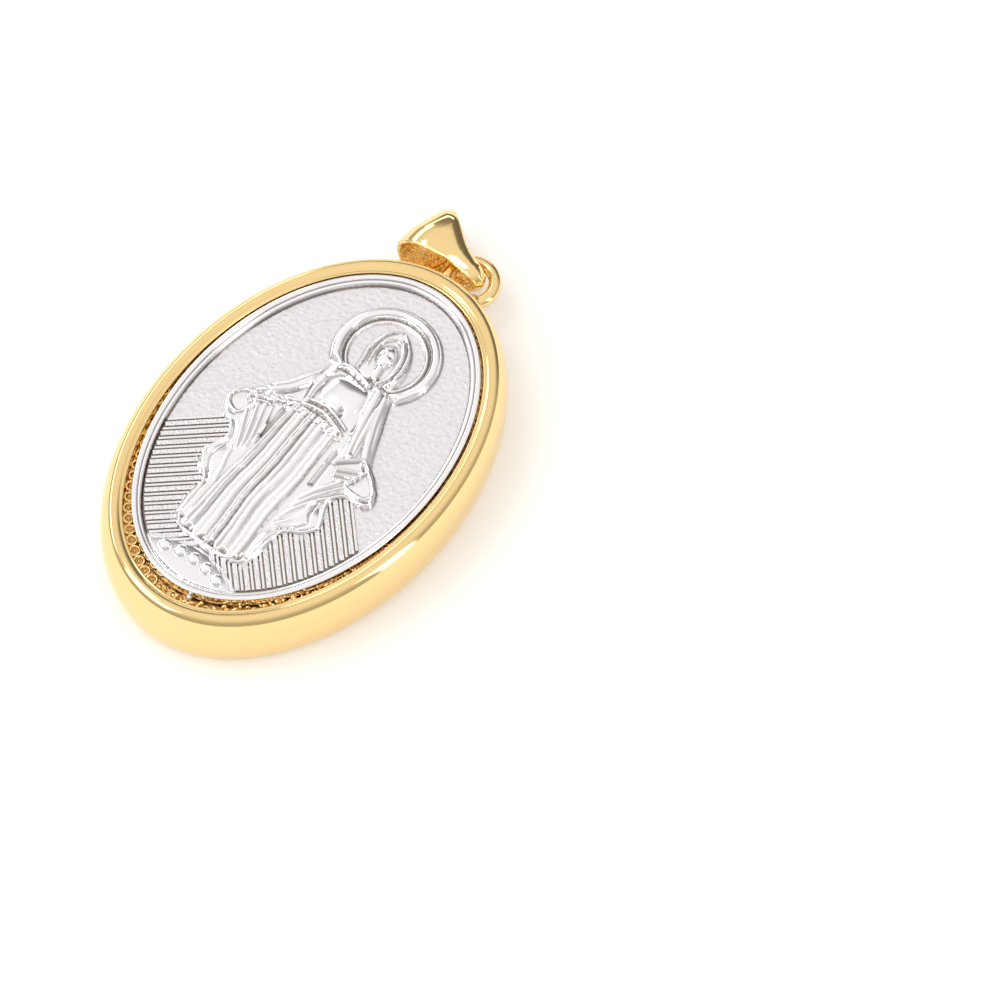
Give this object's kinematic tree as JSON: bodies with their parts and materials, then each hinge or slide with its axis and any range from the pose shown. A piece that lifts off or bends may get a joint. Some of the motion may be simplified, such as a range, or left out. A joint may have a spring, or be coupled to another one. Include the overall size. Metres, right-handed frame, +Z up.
{
  "type": "religious medal pendant",
  "caption": "Oval two-tone medal pendant: gold frame with a soldered ring and a loose teardrop bail, and silver relief plates on both faces.",
  "frame": {"origin": "middle of the pendant's footprint, on the surface that it lies on", "axes": "+Y from the medal's foot towards its ring, +X to the right seen from the front, +Z up out of the front face"},
  "size_m": [0.0238, 0.0396, 0.0058],
  "materials": {
    "gold_frame": "polished gold plate on brass, rough as cast on the ledge and its pits",
    "silver_front": "bright silver plate, polished relief on a finely frosted field",
    "silver_back": "bright silver plate, polished relief on a finely brushed field",
    "gold_bail": "polished gold plate on brass outside, rough as cast inside"
  },
  "bodies": {
    "root": {"frame": "gold_frame", "front_plate": "silver_front", "back_plate": "silver_back", "bail": "gold_bail"}
  },
  "joints": []
}
